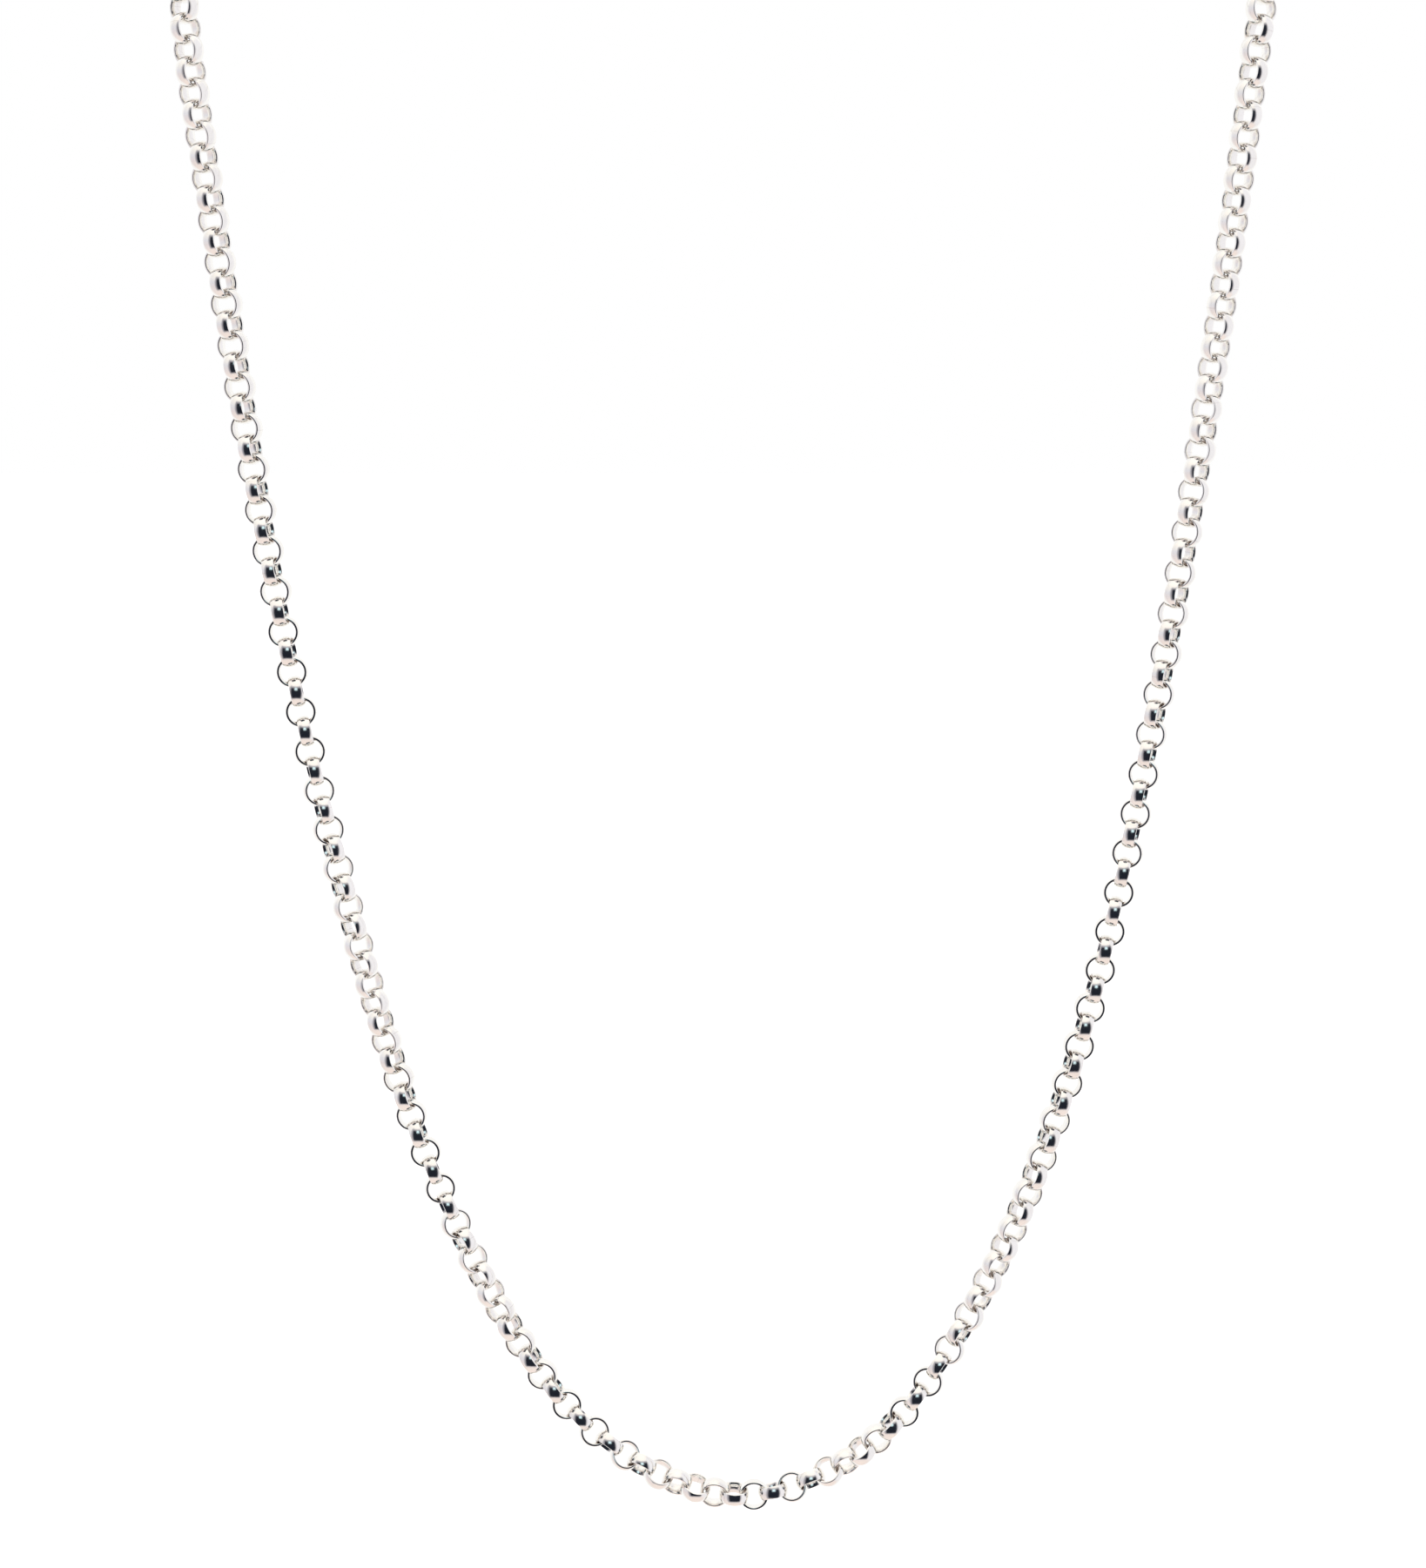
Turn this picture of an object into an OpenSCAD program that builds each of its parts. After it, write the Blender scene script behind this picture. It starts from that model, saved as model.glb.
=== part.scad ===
/* [Links] */
// Outer diameter of a link
link_od = 3.76; // [3.4:0.04:4.2]
// Thickness of the links' wire, at the middle of its width
wire_t = 0.53; // [0.5:0.01:0.6]
// Width of the links' wire
wire_w = 1.46; // [1.3:0.02:1.56]
// Rise of the wire's inner face from its edges to its middle
hole_crown = 0.22; // [0.16:0.01:0.26]
// Rise of the wire's outer face from its edges to its middle
crown = 0.14; // [0.05:0.01:0.18]
// Play left between two links, short of pulling them tight
play = 0.24; // [0.22:0.01:0.35]

/* [Clasp] */
// Inner diameter of the clasp's ring
ring_id = 5; // [4:0.1:6]
// Thickness of the ring's round wire
ring_wire = 1.5; // [0.9:0.05:1.6]
// Thickness of the round wire of the eye beside the ring
eye_wire = 0.8; // [0.6:0.05:1]
// Room in the eye beside the end link's wire
eye_play = 0.25; // [0.2:0.05:0.5]
// Depth that the eye is set into the side of the ring
eye_set = 0.12; // [0.05:0.01:0.3]
// Gap between the clasp and the end links
clasp_gap = 0.13; // [0.12:0.01:0.2]

/* [Hidden] */

// Columns of the route: place of a point, and roll of the links about the line there
AT_X = 0;
AT_Y = 1;
AT_Z = 2;
ROLL = 3;
// Centre line of the hung chain in mm and degrees, from the nape round by its left side
route = [
    [0, 0, 0, 25.5],
    [-10, 0, 0, 25.5],
    [-30, -8, 0, 27],
    [-47, -23, -2, 30],
    [-58, -40, -6, 34],
    [-62.4, -52, -14.1, 38],
    [-62.4, -57, -23.8, 40],
    [-60.5, -57, -42.5, 32],
    [-54.2, -57, -87.2, 10],
    [-45.8, -57, -129.1, -34],
    [-35.8, -57, -162.9, -98],
    [-25.5, -57, -184.4, -161],
    [-13.8, -57, -198.1, -208],
    [2.1, -57, -203.9, -268],
    [16, -57, -198.4, -333],
    [28.2, -57, -182.9, -395],
    [40.4, -57, -152.5, -440],
    [50.7, -57, -103.9, -479],
    [58, -57, -49.4, -505],
    [60.7, -57, -24.6, -509],
    [61.1, -51, -12.1, -510.5],
    [53.8, -40.2, -7, -511.5],
    [44.6, -24, -3, -512.5],
    [29.6, -9, -1, -514],
    [10, 0, 0, -514.5],
    [0, 0, 0, -514.5],
];
last = len(route) - 1;

function place(row) = [row[AT_X], row[AT_Y], row[AT_Z]];
gaps = [for (i = [0:last - 1]) norm(place(route[i + 1]) - place(route[i]))];
rises = [for (i = [0:last - 1]) (route[i + 1] - route[i]) / gaps[i]];
// Slopes at the points, eased once for each of them, which runs the bend evenly through all
function eased(slopes, passes) =
    passes == 0 ? slopes :
    eased([
        for (i = [0:last])
            i == 0 || i == last ? slopes[i] :
            (gaps[i] * (3 * rises[i - 1] - slopes[i - 1]) + gaps[i - 1] * (3 * rises[i] - slopes[i + 1]))
                / (gaps[i - 1] + gaps[i]) / 2
    ], passes - 1);
slopes = eased([for (i = [0:last]) rises[min(i, last - 1)]], last);
// Cubic from one point of the route to the next, t running from 0 to 1
function between(i, t) =
    route[i] * (1 + 2 * t) * (1 - t) ^ 2
    + route[i + 1] * (3 - 2 * t) * t ^ 2
    + (slopes[i] * (1 - t) - slopes[i + 1] * t) * gaps[i] * t * (1 - t);

// Steps that the line takes between two points of the route
STEPS = 24;
line = [for (i = [0:last - 1], j = [0:STEPS - 1]) between(i, j / STEPS), route[last]];
function stride(i) = i < len(line) ? norm(place(line[i]) - place(line[i - 1])) : 0;
// Length of the line up to each of its points
run = [for (i = 0, sum = 0; i < len(line); i = i + 1, sum = sum + stride(i)) sum];
loop = run[len(run) - 1];
columns = [for (c = [AT_X, AT_Y, AT_Z, ROLL]) [for (i = [0:len(line) - 1]) [run[i], line[i][c]]]];
function at(s) = [for (column = columns) lookup(s, column)];

link_r = link_od / 2;
hole_r = link_r - wire_t;
// Reach of a crown's flat middle to each side of the link's middle plane
flat = wire_w / 6;
ring_r = ring_id / 2;
eye_r = wire_w / 2 + eye_play;
// Distance from a round hole's centre to that of the link hung in it
function hung(r) =
    min(sqrt((r - clasp_gap) ^ 2 - (wire_w / 2) ^ 2) + hole_r + hole_crown,
        sqrt((r - clasp_gap) ^ 2 - flat ^ 2) + hole_r);
eye_x = ring_r + ring_wire + eye_r - eye_set;
first_s = hung(ring_r);
last_s = loop - eye_x - hung(eye_r);

// Pitch at which two crossed links touch at the flats of their inner faces
tight = 2 * sqrt(hole_r ^ 2 - flat ^ 2);
// Odd, so that both end links stand the same way
count = 2 * ceil((last_s - first_s) / (tight - play) / 2) + 1;
pitch = (last_s - first_s) / (count - 1);
middle = floor(count / 2);
spots = [for (i = [0:count - 1]) at(first_s + i * pitch)];
function unit(v) = v / norm(v);
ways = [
    for (i = [0:count - 1])
    let (s = first_s + i * pitch)
    unit(place(at(s + pitch / 2)) - place(at(s - pitch / 2)))
];
// Direction square to the line, carried along it from the middle link without turning about it
function carried(side, way) = unit(side - (side * way) * way);
onward = [
    for (i = middle, side = carried([0, 1, 0], ways[i]);
         i < count;
         i = i + 1, side = carried(side, ways[min(i, count - 1)]))
    side
];
back = [
    for (i = middle, side = carried([0, 1, 0], ways[i]);
         i >= 0;
         i = i - 1, side = carried(side, ways[max(i, 0)]))
    side
];
function side(i) = i < middle ? back[middle - i] : onward[i - middle];
// Share of the pitch that a link which bends in its own plane settles outside the line
SETTLE = 0.2;
function bend(i) = ways[min(i + 1, count - 1)] - ways[max(i - 1, 0)];

// A link: a short tube with raised inner and outer faces, its axis along Z
module link() {
    half = wire_w / 2;
    rotate_extrude($fn = 24)
        polygon([
            [hole_r, -flat],
            [hole_r + hole_crown, -half],
            [link_r - crown, -half],
            [link_r, -flat],
            [link_r, flat],
            [link_r - crown, half],
            [hole_r + hole_crown, half],
            [hole_r, flat],
        ]);
}

// Every other link is a quarter turn round from its neighbours
module hang_link(i) {
    roll = spots[i][ROLL] + (i % 2) * 90;
    way = ways[i];
    axis = cos(roll) * side(i) + sin(roll) * cross(way, side(i));
    other = cross(axis, way);
    spot = place(spots[i]) - SETTLE * pitch * (bend(i) * other) * other;
    multmatrix([
        [way.x, other.x, axis.x, spot.x],
        [way.y, other.y, axis.y, spot.y],
        [way.z, other.z, axis.z, spot.z],
        [0, 0, 0, 1],
    ])
        link();
}

module chain_left() {
    color("lightgray")
        for (i = [0:middle - 1])
            hang_link(i);
}

module chain_right() {
    color("silver")
        for (i = [middle:count - 1])
            hang_link(i);
}

// A closed ring of round wire, its axis along Y
module eye(r, wire) {
    rotate([90, 0, 0])
        rotate_extrude()
            translate([r + wire / 2, 0])
                circle(d = wire, $fn = 48);
}

module clasp() {
    color("gainsboro")
        union() {
            eye(ring_r, ring_wire);
            translate([eye_x, 0, 0])
                eye(eye_r, eye_wire);
        }
}

chain_left();
chain_right();
clasp();
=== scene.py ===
import math
import random

import bmesh
import bpy
import numpy as np
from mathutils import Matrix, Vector


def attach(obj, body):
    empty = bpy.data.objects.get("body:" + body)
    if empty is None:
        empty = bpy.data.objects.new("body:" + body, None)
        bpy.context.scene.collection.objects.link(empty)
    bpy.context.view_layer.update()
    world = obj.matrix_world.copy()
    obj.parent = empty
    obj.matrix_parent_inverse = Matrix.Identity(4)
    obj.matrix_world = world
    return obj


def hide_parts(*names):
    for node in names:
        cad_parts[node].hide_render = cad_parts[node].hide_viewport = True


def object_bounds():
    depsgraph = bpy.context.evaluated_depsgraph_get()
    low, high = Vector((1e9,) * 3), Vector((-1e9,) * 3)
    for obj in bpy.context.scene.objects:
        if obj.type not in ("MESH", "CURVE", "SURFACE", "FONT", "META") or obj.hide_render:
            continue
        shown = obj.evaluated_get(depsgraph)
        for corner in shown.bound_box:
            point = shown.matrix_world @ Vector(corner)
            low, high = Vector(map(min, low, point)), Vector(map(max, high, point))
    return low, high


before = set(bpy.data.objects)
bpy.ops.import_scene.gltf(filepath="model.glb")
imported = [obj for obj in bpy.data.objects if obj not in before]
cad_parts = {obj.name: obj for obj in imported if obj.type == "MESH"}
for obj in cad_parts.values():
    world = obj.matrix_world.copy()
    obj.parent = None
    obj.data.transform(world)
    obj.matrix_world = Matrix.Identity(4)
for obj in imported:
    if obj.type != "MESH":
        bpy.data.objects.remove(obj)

CAD_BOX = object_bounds()
SEED = 11
MM = 0.001
# Corners of a CAD mesh that lie this close are one
WELD = 0.0001 * MM

# Section of the links' wire: crowned faces, rounded edges and slightly rounded sides
LINK_R = 1.9 * MM
HOLE_R = 1.33 * MM
HALF_W = 0.73 * MM
CROWN = 0.155 * MM
HOLE_CROWN = 0.15 * MM
EDGE = 0.05 * MM
# Lean of the sides' normals at the edges, in radians
SIDE_LEAN = 0.35
CROWN_STEPS = 3
HOLE_STEPS = 2
EDGE_STEPS = 2
# Passes in which the tilt of a crowned face settles where its rounded edge begins
TILT_PASSES = 8
# Steps round a link, beside the two across its joint
SEGMENTS = 38
# Half the width of a link's soldered joint, in radians
JOINT_HALF = 0.035
# Largest share by which a link is out of round
OVAL = 0.004
# Largest random lean of a link about the chain's line, in radians, and the height above the
# chain's lowest point over which it sets in
LEAN = 0.045
LEAN_RISE = 30 * MM
# Further lean of every other link of the right arm, in radians, the height about which it is in
# force, and the distances from there between which it fades out
ARM_LEAN = 0.07
ARM_Z = -100 * MM
ARM_FULL = 20 * MM
ARM_NONE = 45 * MM
# Angles from the neighbours' pull, in radians, between which the painted shade on the inner face fades out
CONTACT_SHADE_FULL = 0.3
CONTACT_SHADE_NONE = 0.75

# Silver; the scales of its noises are per metre
MARKS = "marks"
CLEAN = (0.985, 0.97, 0.94)
DULL = (0.95, 0.925, 0.885)
CLOUD_SCALE = 450
CLOUD_DETAIL = 3
CLOUD_RANGE = (0.35, 0.7)
SPECK_SCALE = 5000
SPECK_DETAIL = 2
SPECK_RANGE = (0.3, 0.7)
BUMP_SCALE = 700
BUMP_DETAIL = 2
BUMP_STRENGTH = 0.5
BUMP_DEPTH = 0.004 * MM
# Painted shade where the links touch: the inner faces are darkened towards brown there and made rougher
CONTACT_SHADE_COLOR = (0.36, 0.24, 0.17)
CONTACT_SHADE_SHARE = 0.95
CONTACT_SHADE_ROUGH = 0.3
JOINT_COLOR = (0.62, 0.56, 0.5)
JOINT_SHARE = 0.35
LINKS_ROUGH = (0.1, 0.17)
CLASP_ROUGH = (0.06, 0.13)

# Camera: lens and sensor in millimetres, pitch downwards in degrees, and where it aims
LENS = 70
SENSOR = 36
PITCH = 8.5
AIM = Vector((-2.0, -57.0, -116.0)) * MM
DISTANCE = 360.5 * MM
CLIP_START = 0.01
CLIP_END = 20

# Floor, in metres
FLOOR_Z = -0.27
FLOOR_HALF = 3.0
FLOOR_NEAR = -2.0
FLOOR_FAR = 4.0
PAPER_ROUGH = 0.8
PAPER_COLORS = ((0.945, 0.945, 0.945), (0.96, 0.96, 0.96))
PAPER_TONE_SCALE = 3
PAPER_GRAIN_SCALE = 900
PAPER_DETAIL = 2
PAPER_BUMP = 0.3
PAPER_DEPTH = 0.05 * MM

# Surroundings by height: share of the way from straight below to straight above, and colour
SKY = [
    (0.0, (0.95, 0.83, 0.78)),
    (0.35, (0.8, 0.74, 0.76)),
    (0.55, (0.77, 0.77, 0.83)),
    (0.8, (0.95, 0.92, 0.89)),
    (1.0, (1.15, 1.10, 1.04)),
]
# Patches of the surroundings, in order: bearings, heights, softness, all in degrees, and colour.
# A bearing is 0 towards -Y and grows towards +X.
PATCHES = [
    ((110, 250), (-60, 60), 30, (1.0, 1.0, 1.0)),
    ((55, 120), (-50, 60), 25, (0.9, 0.89, 0.93)),
    ((-53, 52), (-47, 42), 16, (0.36, 0.35, 0.39)),
    ((-39, 46), (-42, 30), 12, (0.014, 0.017, 0.026)),
    ((-8, 16), (15, 33), 11, (0.75, 0.98, 1.05)),
]
# What lights the paper, and what the camera sees behind everything
PAPER_LIGHT = (1.6, 1.6, 1.6)
BACKDROP = (1.0, 1.0, 1.0)


def face_points(crown, crown_steps):
    """Half a crowned face and its rounded edge: drop from the crown's top, height and tilt of each point."""
    tilt = 2 * math.atan(crown / HALF_W)
    for _ in range(TILT_PASSES):
        reach = HALF_W - EDGE * (1 - math.sin(tilt))
        tilt = 2 * math.atan(crown / reach)
    crown_r = reach / math.sin(tilt)
    end = math.pi / 2 - SIDE_LEAN
    points = []
    for k in range(crown_steps + 1):
        a = tilt * k / crown_steps
        points.append((crown_r * (1 - math.cos(a)), crown_r * math.sin(a), a))
    for k in range(1, EDGE_STEPS + 1):
        a = tilt + (end - tilt) * k / EDGE_STEPS
        points.append((crown + EDGE * (math.cos(tilt) - math.cos(a)), HALF_W - EDGE * (1 - math.sin(a)), a))
    return points


def link_profile():
    """Points, outward normals and inwardness of the wire's section, once round it from its outer face."""
    half = []
    for drop, z, a in face_points(CROWN, CROWN_STEPS):
        half.append((LINK_R - drop, z, math.cos(a), math.sin(a), 0))
    for drop, z, a in reversed(face_points(HOLE_CROWN, HOLE_STEPS)):
        half.append((HOLE_R + drop, z, -math.cos(a), math.sin(a), math.cos(a)))
    lower = [(r, -z, nr, -nz, inward) for r, z, nr, nz, inward in reversed(half) if z > 0]
    return half + lower


def fade(value, full, none):
    """1 up to full, 0 from none on, eased between them."""
    t = min(max((value - full) / (none - full), 0), 1)
    return 1 - t * t * (3 - 2 * t)


def link_mesh(rng):
    """Corners, faces, normals and marks of one link, its axis along Z and its neighbours at +X and -X.

    The marks' red is painted shade where the neighbours touch, and their green is the soldered joint."""
    profile = link_profile()
    joint = rng.uniform(0, math.tau)
    oval = rng.uniform(-OVAL, OVAL)
    turn = rng.uniform(0, math.tau)
    rest = math.tau - 2 * JOINT_HALF
    angles = [joint - JOINT_HALF, joint] + [joint + JOINT_HALF + rest * i / SEGMENTS for i in range(SEGMENTS)]
    verts = []
    normals = []
    marks = []
    for a in angles:
        stretch = 1 + oval * math.cos(2 * (a - turn))
        off = abs((a + math.pi / 2) % math.pi - math.pi / 2)
        # Painted shade on the inner face, strongest towards the neighbours' pull
        contact_shade = fade(off, CONTACT_SHADE_FULL, CONTACT_SHADE_NONE)
        for r, z, nr, nz, inward in profile:
            verts.append((r * stretch * math.cos(a), r * stretch * math.sin(a), z))
            normals.append((nr * math.cos(a), nr * math.sin(a), nz))
            marks.append((contact_shade * inward, float(a == joint), 0, 1))
    n = len(profile)
    faces = []
    for i in range(len(angles)):
        j = (i + 1) % len(angles)
        for k in range(n):
            m = (k + 1) % n
            faces.append((i * n + k, j * n + k, j * n + m, i * n + m))
    return np.array(verts), np.array(faces), np.array(normals), np.array(marks)


def loose_parts(bm):
    """Groups of joined faces, in the order of the mesh."""
    seen = set()
    groups = []
    for first in bm.faces:
        if first.index in seen:
            continue
        stack = [first]
        group = []
        seen.add(first.index)
        while stack:
            face = stack.pop()
            group.append(face)
            for vert in face.verts:
                for other in vert.link_faces:
                    if other.index not in seen:
                        seen.add(other.index)
                        stack.append(other)
        groups.append(group)
    return groups


def ring_place(group):
    """Centre and axis of a ring: the axis is the direction that the normals of its faces turn to least."""
    areas = np.array([f.calc_area() for f in group])
    mids = np.array([f.calc_center_median() for f in group])
    ways = np.array([f.normal for f in group])
    centre = (areas[:, None] * mids).sum(0) / areas.sum()
    turned = (areas[:, None, None] * ways[:, :, None] * ways[:, None, :]).sum(0)
    return centre, np.linalg.eigh(turned)[1][:, 0]


def loose_rings(node):
    """Centre and axis of each loose ring of a CAD node, in the order of the mesh."""
    bm = bmesh.new()
    bm.from_mesh(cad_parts[node].data)
    bmesh.ops.remove_doubles(bm, verts=bm.verts, dist=WELD)
    bm.faces.ensure_lookup_table()
    found = [ring_place(group) for group in loose_parts(bm)]
    bm.free()
    return found


def add_object(name, mesh, mat):
    mesh.materials.append(mat)
    obj = bpy.data.objects.new(name, mesh)
    bpy.context.scene.collection.objects.link(obj)
    return obj


def chain_mesh(name, verts, faces, normals, marks):
    mesh = bpy.data.meshes.new(name)
    mesh.from_pydata(verts.tolist(), [], faces.tolist())
    mesh.polygons.foreach_set("use_smooth", [True] * len(mesh.polygons))
    mesh.normals_split_custom_set_from_vertices(normals.tolist())
    layer = mesh.color_attributes.new(MARKS, "FLOAT_COLOR", "POINT")
    layer.data.foreach_set("color", marks.ravel())
    return mesh


def link_way(rings, i):
    """Direction of the chain at one of its links."""
    way = rings[min(i + 1, len(rings) - 1)][0] - rings[max(i - 1, 0)][0]
    return way / np.linalg.norm(way)


def link_lean(i, z, arm_lean, rng):
    """Lean of a link about the chain's line, from its place in the row and its height."""
    lean = rng.uniform(-LEAN, LEAN) * (1 - fade(z - CAD_BOX[0][2], 0, LEAN_RISE))
    if i % 2 == 0:
        lean += arm_lean * fade(abs(z - ARM_Z), ARM_FULL, ARM_NONE)
    return lean


def chain_piece(name, node, mat, arm_lean, rng):
    """Fine links in the places of a CAD node's links, which are in order along the chain."""
    rings = loose_rings(node)
    made = []
    base = 0
    for i, (centre, axis) in enumerate(rings):
        way = link_way(rings, i)
        lean = link_lean(i, centre[2], arm_lean, rng)
        axis = axis * math.cos(lean) + np.cross(way, axis) * math.sin(lean)
        side = way - way.dot(axis) * axis
        side /= np.linalg.norm(side)
        turn = np.column_stack([side, np.cross(axis, side), axis])
        verts, faces, normals, marks = link_mesh(rng)
        made.append((verts @ turn.T + centre, faces + base, normals @ turn.T, marks))
        base += len(verts)
    mesh = chain_mesh(name, *[np.concatenate(rows) for rows in zip(*made)])
    obj = add_object(name, mesh, mat)
    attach(obj, "root")
    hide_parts(node)


def noise(tree, place, scale, detail):
    node = tree.nodes.new("ShaderNodeTexNoise")
    node.inputs["Scale"].default_value = scale
    node.inputs["Detail"].default_value = detail
    tree.links.new(place, node.inputs["Vector"])
    return node.outputs["Fac"]


def spread(tree, value, taken, given):
    """The value moved from one range to the other, and kept in it."""
    node = tree.nodes.new("ShaderNodeMapRange")
    node.inputs["From Min"].default_value, node.inputs["From Max"].default_value = taken
    node.inputs["To Min"].default_value, node.inputs["To Max"].default_value = given
    tree.links.new(value, node.inputs["Value"])
    return node.outputs["Result"]


def blend(tree, share, first, second):
    """The first colour at share 0 and the second at 1; each is a socket or a plain colour."""
    mix = tree.nodes.new("ShaderNodeMix")
    mix.data_type = "RGBA"
    tree.links.new(share, mix.inputs["Factor"])
    for socket, value in ((mix.inputs["A"], first), (mix.inputs["B"], second)):
        if isinstance(value, tuple):
            socket.default_value = (*value, 1)
        else:
            tree.links.new(value, socket)
    return mix.outputs["Result"]


def calc(tree, operation, *values):
    """Result of one math operation; each value is a socket or a plain number."""
    node = tree.nodes.new("ShaderNodeMath")
    node.operation = operation
    for socket, value in zip(node.inputs, values):
        if isinstance(value, (int, float)):
            socket.default_value = value
        else:
            tree.links.new(value, socket)
    return node.outputs[0]


def bump(tree, height, strength, depth):
    node = tree.nodes.new("ShaderNodeBump")
    node.inputs["Strength"].default_value = strength
    node.inputs["Distance"].default_value = depth
    tree.links.new(height, node.inputs["Height"])
    return node.outputs["Normal"]


def silver(name, rough):
    """Polished silver: clouded with a breath of tarnish, finely scratched, darkened with painted shade and
    rougher where links touch.
    """
    mat = bpy.data.materials.new(name)
    mat.use_nodes = True
    tree = mat.node_tree
    bsdf = tree.nodes["Principled BSDF"]
    bsdf.inputs["Metallic"].default_value = 1.0
    place = tree.nodes.new("ShaderNodeTexCoord").outputs["Object"]
    marks = tree.nodes.new("ShaderNodeAttribute")
    marks.attribute_name = MARKS
    mark = tree.nodes.new("ShaderNodeSeparateColor")
    tree.links.new(marks.outputs["Color"], mark.inputs["Color"])
    contact_shade = mark.outputs["Red"]
    joint = mark.outputs["Green"]

    clouds = noise(tree, place, CLOUD_SCALE, CLOUD_DETAIL)
    color = blend(tree, spread(tree, clouds, CLOUD_RANGE, (0, 1)), CLEAN, DULL)
    # Painted shade: brown darkening on the inner faces where the links touch
    color = blend(tree, calc(tree, "MULTIPLY", contact_shade, CONTACT_SHADE_SHARE), color, CONTACT_SHADE_COLOR)
    color = blend(tree, calc(tree, "MULTIPLY", joint, JOINT_SHARE), color, JOINT_COLOR)
    tree.links.new(color, bsdf.inputs["Base Color"])

    specks = noise(tree, place, SPECK_SCALE, SPECK_DETAIL)
    gloss = spread(tree, specks, SPECK_RANGE, rough)
    tree.links.new(calc(tree, "MULTIPLY_ADD", contact_shade, CONTACT_SHADE_ROUGH, gloss), bsdf.inputs["Roughness"])

    dents = noise(tree, place, BUMP_SCALE, BUMP_DETAIL)
    tree.links.new(bump(tree, dents, BUMP_STRENGTH, BUMP_DEPTH), bsdf.inputs["Normal"])
    return mat


def rise(tree, value, edge, soft):
    """Share from 0 to 1 as the value passes the edge."""
    ramp = tree.nodes.new("ShaderNodeMapRange")
    ramp.interpolation_type = "SMOOTHSTEP"
    ramp.inputs["From Min"].default_value = edge - soft / 2
    ramp.inputs["From Max"].default_value = edge + soft / 2
    tree.links.new(value, ramp.inputs["Value"])
    return ramp.outputs["Result"]


def patch(tree, bearing, height, bearings, heights, soft):
    """Share from 0 to 1 of a soft patch between the bearings and between the heights."""
    off = calc(tree, "SUBTRACT", bearing, sum(bearings) / 2)
    off = calc(tree, "ABSOLUTE", calc(tree, "WRAP", off, -180, 180))
    beside = rise(tree, off, (bearings[1] - bearings[0]) / 2, soft)
    inside = calc(tree, "SUBTRACT", 1, beside)
    above = rise(tree, height, heights[0], soft)
    below = calc(tree, "SUBTRACT", 1, rise(tree, height, heights[1], soft))
    return calc(tree, "MULTIPLY", inside, calc(tree, "MULTIPLY", above, below))


def sky(tree, z):
    """Colour of the surroundings by height."""
    ramp = tree.nodes.new("ShaderNodeValToRGB")
    tree.links.new(calc(tree, "MULTIPLY_ADD", z, 0.5, 0.5), ramp.inputs["Fac"])
    elements = ramp.color_ramp.elements
    for k, (place, color) in enumerate(SKY):
        stop = elements[k] if k < len(elements) else elements.new(place)
        stop.position = place
        stop.color = (*color, 1)
    return ramp.outputs["Color"]


def surroundings():
    """World light: a white studio with a dark opening in front, seen by reflections alone."""
    world = bpy.data.worlds.new("studio")
    bpy.context.scene.world = world
    world.use_nodes = True
    tree = world.node_tree
    tree.nodes.clear()
    way = tree.nodes.new("ShaderNodeTexCoord").outputs["Generated"]
    parts = tree.nodes.new("ShaderNodeSeparateXYZ")
    tree.links.new(way, parts.inputs[0])
    x, y, z = parts.outputs
    bearing = calc(tree, "DEGREES", calc(tree, "ARCTAN2", x, calc(tree, "MULTIPLY", y, -1)))
    height = calc(tree, "DEGREES", calc(tree, "ARCSINE", z))

    lit = sky(tree, z)
    for bearings, heights, soft, color in PATCHES:
        lit = blend(tree, patch(tree, bearing, height, bearings, heights, soft), lit, color)

    path = tree.nodes.new("ShaderNodeLightPath")
    lit = blend(tree, path.outputs["Is Diffuse Ray"], lit, PAPER_LIGHT)
    seen = blend(tree, path.outputs["Is Camera Ray"], lit, BACKDROP)
    back = tree.nodes.new("ShaderNodeBackground")
    tree.links.new(seen, back.inputs["Color"])
    out = tree.nodes.new("ShaderNodeOutputWorld")
    tree.links.new(back.outputs[0], out.inputs["Surface"])


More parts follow.
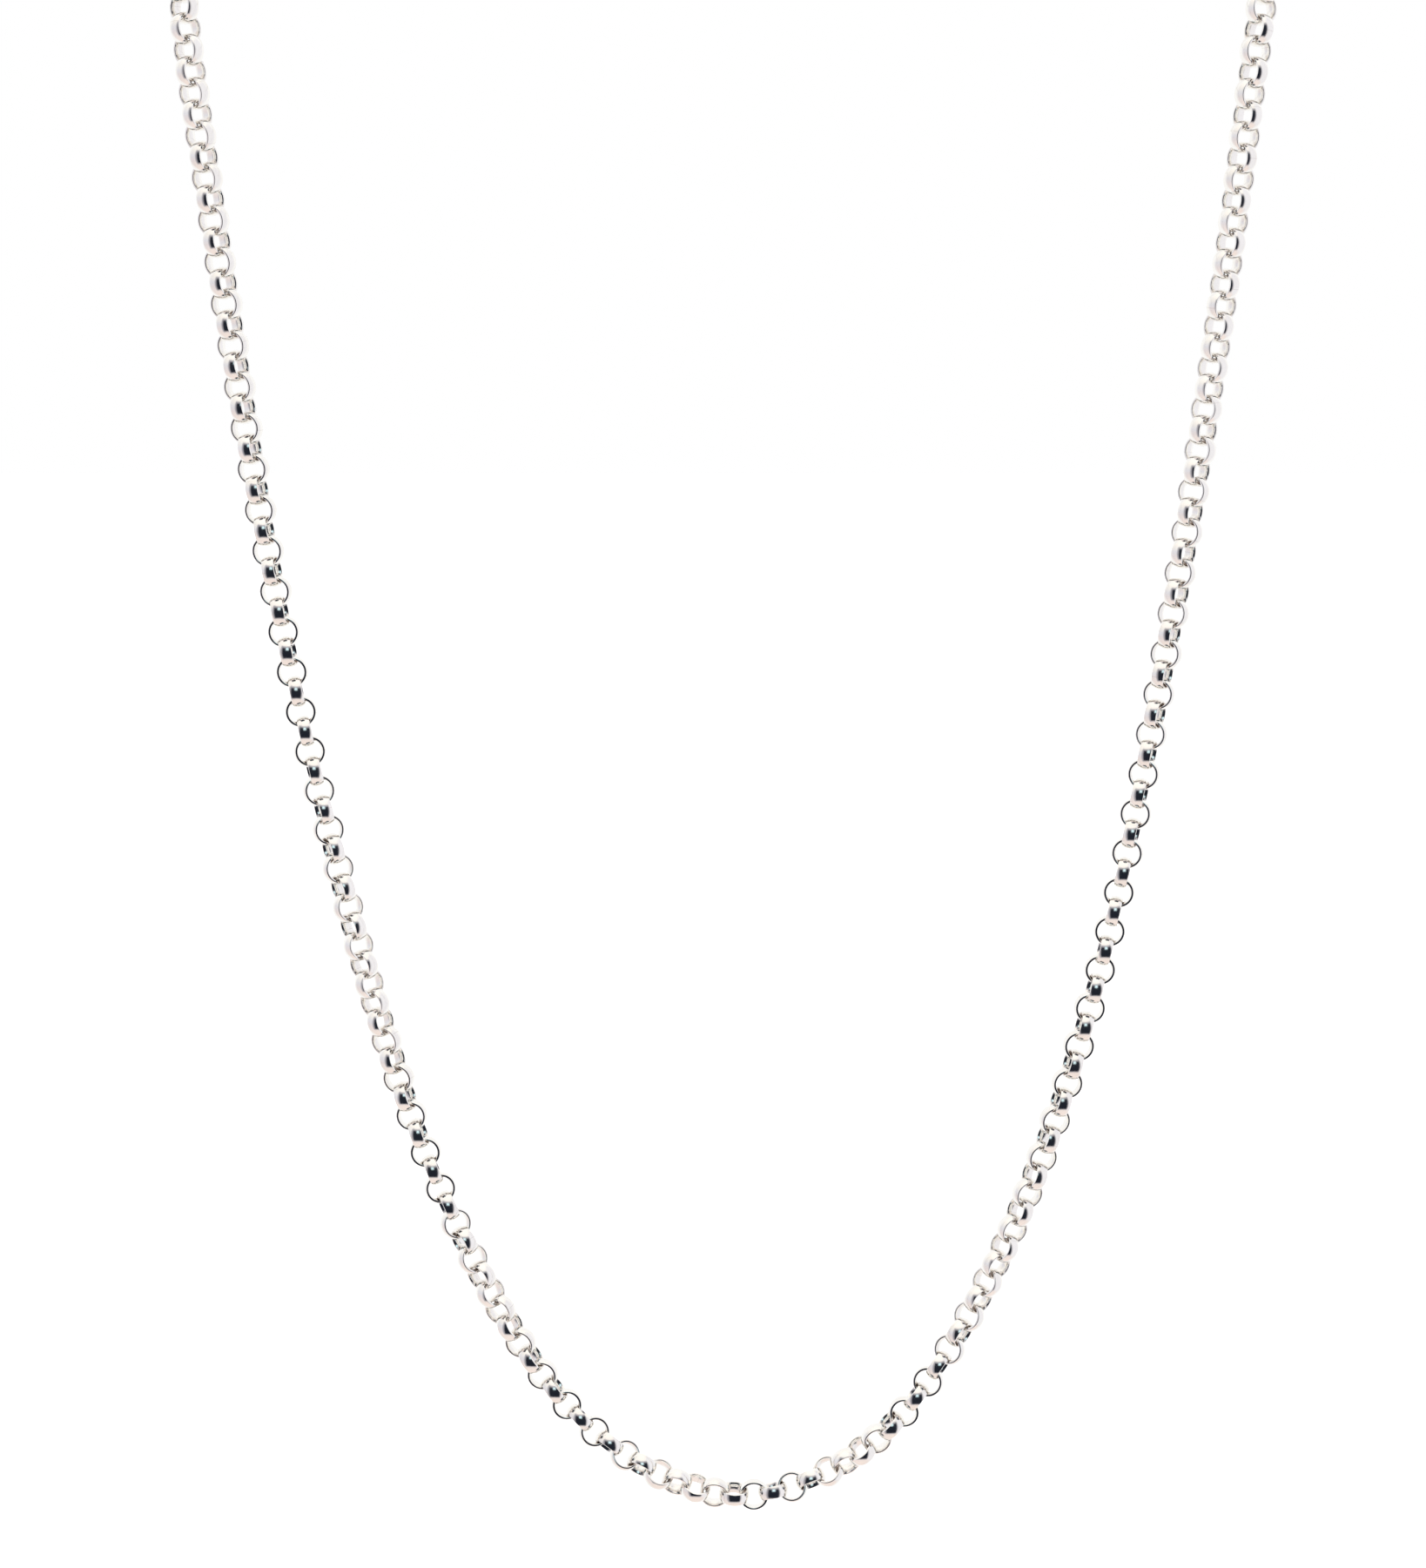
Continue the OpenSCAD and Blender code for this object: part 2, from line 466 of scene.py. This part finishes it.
def paper():
    """Pale paper, its tone and grain from noises."""
    mat = bpy.data.materials.new("floor_paper")
    mat.use_nodes = True
    tree = mat.node_tree
    bsdf = tree.nodes["Principled BSDF"]
    bsdf.inputs["Roughness"].default_value = PAPER_ROUGH
    place = tree.nodes.new("ShaderNodeTexCoord").outputs["Object"]
    ramp = tree.nodes.new("ShaderNodeValToRGB")
    for element, color in zip(ramp.color_ramp.elements, PAPER_COLORS):
        element.color = (*color, 1)
    tree.links.new(noise(tree, place, PAPER_TONE_SCALE, PAPER_DETAIL), ramp.inputs["Fac"])
    tree.links.new(ramp.outputs["Color"], bsdf.inputs["Base Color"])
    grain = noise(tree, place, PAPER_GRAIN_SCALE, PAPER_DETAIL)
    tree.links.new(bump(tree, grain, PAPER_BUMP, PAPER_DEPTH), bsdf.inputs["Normal"])
    return mat


def floor():
    """A sheet of paper under the chain, which the silver doesn't mirror."""
    mesh = bpy.data.meshes.new("floor")
    corners = [(x, y, FLOOR_Z) for y in (FLOOR_NEAR, FLOOR_FAR) for x in (-FLOOR_HALF, FLOOR_HALF)]
    mesh.from_pydata(corners, [], [(0, 1, 3, 2)])
    obj = add_object("floor", mesh, paper())
    obj.visible_glossy = False


def camera():
    """The photo's view: level across, pitched down, aimed at the middle of the hanging part."""
    data = bpy.data.cameras.new("camera")
    data.sensor_width = SENSOR
    data.sensor_fit = "AUTO"
    data.lens = LENS
    data.clip_start = CLIP_START
    data.clip_end = CLIP_END
    obj = bpy.data.objects.new("camera", data)
    bpy.context.scene.collection.objects.link(obj)
    pitch = math.radians(PITCH)
    obj.location = AIM - Vector((0, math.cos(pitch), -math.sin(pitch))) * DISTANCE
    obj.rotation_euler = (math.pi / 2 - pitch, 0, 0)
    bpy.context.scene.camera = obj


rng = random.Random(SEED)
polished = silver("polished_links", LINKS_ROUGH)
chain_piece("links_left", "chain_left", polished, 0, rng)
chain_piece("links_right", "chain_right", polished, ARM_LEAN, rng)
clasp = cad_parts["clasp"]
clasp.data.materials.clear()
clasp.data.materials.append(silver("polished_clasp", CLASP_ROUGH))
surroundings()
floor()
camera()
bpy.context.scene.view_settings.view_transform = "Standard"
